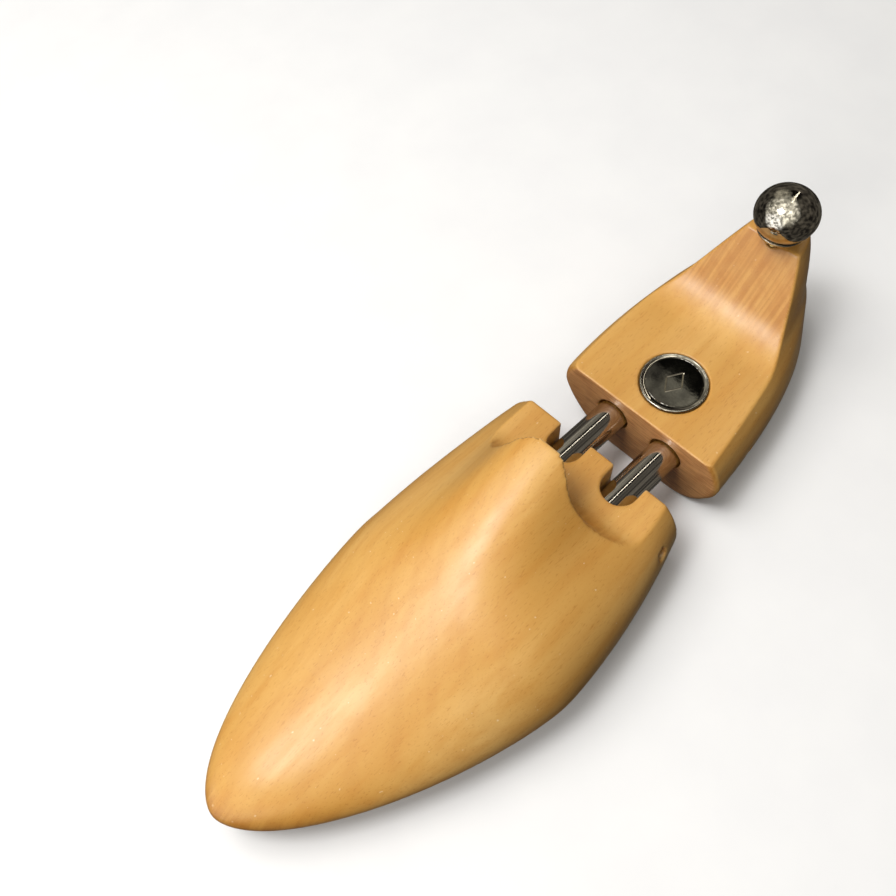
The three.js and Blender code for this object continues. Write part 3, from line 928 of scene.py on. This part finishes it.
beech = beech_material()
tube_steel = metal_material(
    "polished_steel", (0.62, 0.6, 0.56), (0.42, 0.38, 0.32), (0.07, 0.16), (30, 1500, 1500)
)
spring_steel = metal_material(
    "spring_steel", (0.5, 0.5, 0.51), (0.3, 0.28, 0.25), (0.22, 0.4), (900, 900, 900)
)
nickel = nickel_material("dark_nickel", 0.1, (0.04, 0.16))
plaque_nickel = nickel_material("plaque_nickel", 0.008, (0.01, 0.05))
brass = metal_material("brass", (0.69, 0.5, 0.2), (0.42, 0.28, 0.1), (0.2, 0.38), (1800, 60, 60))
nylon = soft_material("nylon", (0.8, 0.77, 0.68), (0.7, 0.66, 0.56), 0.45, 2400)
foam = soft_material("adhesive_foam", (0.03, 0.03, 0.028), (0.06, 0.055, 0.05), 0.85, 3200)


# ---- assembly ----
def fit(piece, body, node, material, creased=True):
    shade(piece, material)
    if creased:
        keep_creases(piece)
    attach(piece, body)
    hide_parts(node)
    return piece


def keep_creases(obj):
    """Smooth shading, except across edges sharper than 35 degrees."""
    obj.data.set_sharp_from_angle(angle=math.radians(35))


def recalculate_normals(obj):
    bm = bmesh.new()
    bm.from_mesh(obj.data)
    bmesh.ops.recalc_face_normals(bm, faces=bm.faces)
    bm.to_mesh(obj.data)
    bm.free()


fit(make_forefoot(), "forefoot", "forefoot_block", beech, creased=False)
fit(make_heel(), "heel", "heel_block", beech, creased=False)
for side in TUBE_Y:
    fit(make_tube(side), "forefoot", f"{side}_slide_tube", tube_steel)
    spring = fit(make_spring(side), "forefoot", f"{side}_spring", spring_steel)
    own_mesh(spring)
    plug = make_turned_slug(f"{side}_plug", f"{side}_front_plug", "back")
    fit(plug, "forefoot", f"{side}_front_plug", brass)
    follower = make_turned_slug(f"{side}_follower", f"{side}_spring_follower", "front")
    fit(follower, "heel", f"{side}_spring_follower", brass)
    fit(make_bush(side), "forefoot", f"{side}_tail_bush", nylon)
for body in ("forefoot", "heel"):
    node = f"{body}_cross_pin"
    fit(make_pin(f"{body}_pin", node), body, node, spring_steel)
ball, plate, neck = make_knob()
fit(ball, "heel", "knob_dome", nickel)
fit(plate, "heel", "knob_flange", nickel)
fit(neck, "heel", "knob_collar", nickel)
stud = make_threaded("stud", "knob_stud", 0, 0.7 * MM, 0.35 * MM)
fit(stud, "heel", "knob_stud", spring_steel)
insert = make_threaded("insert", "threaded_insert", STUD_BORE_R, 1.5 * MM, 0.6 * MM)
fit(insert, "heel", "threaded_insert", brass)
fit(make_plaque(), "heel", "plaque_disc", plaque_nickel)
pad = make_ring("glue_pad", "plaque_glue_pad", 1.5 * MM, 0.15 * MM)
fit(pad, "heel", "plaque_glue_pad", foam)


# ---- camera, floor and light ----
def make_camera():
    azimuth, elevation, roll = math.radians(138.8), math.radians(61.89), math.radians(-5.08)
    distance = 0.34095
    target = Vector((REAR_X + 0.03096, -0.04386, 0.023))
    back = Vector(
        (
            math.sin(azimuth) * math.cos(elevation),
            -math.cos(azimuth) * math.cos(elevation),
            math.sin(elevation),
        )
    )
    right = Vector((math.cos(azimuth), math.sin(azimuth), 0))
    up = back.cross(right)
    rolled_right = math.cos(roll) * right + math.sin(roll) * up
    rolled_up = back.cross(rolled_right)
    turn = Matrix((rolled_right, rolled_up, back)).transposed().to_4x4()
    data = bpy.data.cameras.new("camera")
    data.sensor_width = 36
    data.lens = 36 * 950 / 896
    data.clip_start = 0.01
    camera = bpy.data.objects.new("camera", data)
    camera.matrix_world = Matrix.Translation(target + back * distance) @ turn
    bpy.context.scene.collection.objects.link(camera)
    bpy.context.scene.camera = camera


def make_floor():
    """A pale floor that neither tints the wood nor shows in the metal."""
    floor = block("floor", (-2, -2, -0.02), (2, 2, 0))
    n = Nodes("floor_paint")
    speckle = n.noise(n.stretched((35, 35, 35)), detail=3)
    n.drive(Base_Color=n.ramp(speckle, [(0.3, (0.9, 0.9, 0.9)), (0.7, (0.93, 0.93, 0.925))]))
    n.set(Roughness=0.9, Specular_IOR_Level=0.1)
    shade(floor, n.owner, False)
    floor.visible_diffuse = False
    floor.visible_glossy = False


def area_light(name, place, aim, size, power, colour=(1, 1, 1), mirrored=True):
    data = bpy.data.lights.new(name, "AREA")
    data.shape = "RECTANGLE"
    data.size, data.size_y = size
    data.energy = power
    data.color = colour
    light = bpy.data.objects.new(name, data)
    light.location = place
    direction = Vector(aim) - Vector(place)
    light.rotation_euler = direction.to_track_quat("-Z", "Y").to_euler()
    light.visible_glossy = mirrored
    bpy.context.scene.collection.objects.link(light)


def make_world():
    """White for the eye, a soft gradient for the wood and a mottled room with lamps for the metal."""
    n = Nodes("world", world=True)
    bpy.context.scene.world = n.owner
    n.shader.inputs["Strength"].default_value = 1

    def towards(direction, start, end):
        """1 in a cone about a direction, fading to 0 between two angles in degrees."""
        dot = n.add("ShaderNodeVectorMath", operation="DOT_PRODUCT")
        dot.inputs[1].default_value = Vector(direction).normalized()
        n.link(n.place, dot.inputs[0])
        return n.levels(dot.outputs["Value"], math.cos(math.radians(end)), math.cos(math.radians(start)))

    def mottled(scale, stops):
        return n.ramp(n.noise(n.place, scale), stops)

    overhead = towards((0.1, -0.5, 0.85), 0, 150)
    soft_stops = [(0.2, (0.03, 0.026, 0.02)), (0.55, (0.13, 0.122, 0.108)), (1, (0.45, 0.45, 0.45))]
    soft = n.ramp(overhead, soft_stops)

    room = mottled(5, [(0.4, (0.02, 0.018, 0.016)), (0.7, (0.2, 0.18, 0.15))])
    room = n.blend(room, (0.006, 0.006, 0.005), towards((-0.62, -0.22, 0.75), 12, 20))
    # The ceiling's edge is mirrored across the middle of the plaque.
    ceiling = mottled(25, [(0.38, (0.04, 0.038, 0.034)), (0.62, (0.34, 0.33, 0.28))])
    room = n.blend(room, ceiling, towards((0.1, -0.22, 0.97), 36.2, 36.5))
    lamps = mottled(7, [(0.36, (0.25, 0.24, 0.2)), (0.52, (1.0, 0.96, 0.84)), (0.66, (3.2, 3.1, 2.8))])
    room = n.blend(room, lamps, towards((0.515, -0.143, 0.844), 36, 60))
    wall = mottled(9, [(0.4, (0.15, 0.14, 0.115)), (0.62, (0.75, 0.7, 0.58))])
    room = n.blend(room, wall, towards((-0.45, -0.6, 0.66), 9, 21))
    windows = mottled(7, [(0.45, (0.35, 0.34, 0.32)), (0.56, (2.6, 2.6, 2.6))])
    room = n.blend(room, windows, towards((0.95, -0.2, 0.25), 20, 36))

    light_path = n.add("ShaderNodeLightPath")
    lit = n.blend(soft, room, light_path.outputs["Is Glossy Ray"])
    seen = n.blend(lit, (1, 1, 1), light_path.outputs["Is Camera Ray"])
    n.drive(Color=seen)


make_camera()
make_floor()
make_world()
bpy.context.scene.view_settings.view_transform = "Standard"
area_light("key", (0.2, -0.42, 0.88), (0, 0, 0), (0.6, 0.6), 4.55, (1, 0.98, 0.95), mirrored=False)
area_light("fill", (0.75, 0.15, 0.45), (0, 0, 0.02), (0.4, 0.4), 2.4, (1, 0.97, 0.93), mirrored=False)
area_light("lamp", (0.32, -0.2, 0.93), (-0.05, 0, 0), (0.3, 0.3), 3.2)
area_light("strip", (-0.62, -0.11, 0.76), (-0.03, 0, 0.02), (0.022, 0.75), 0.3, (1, 0.93, 0.78))
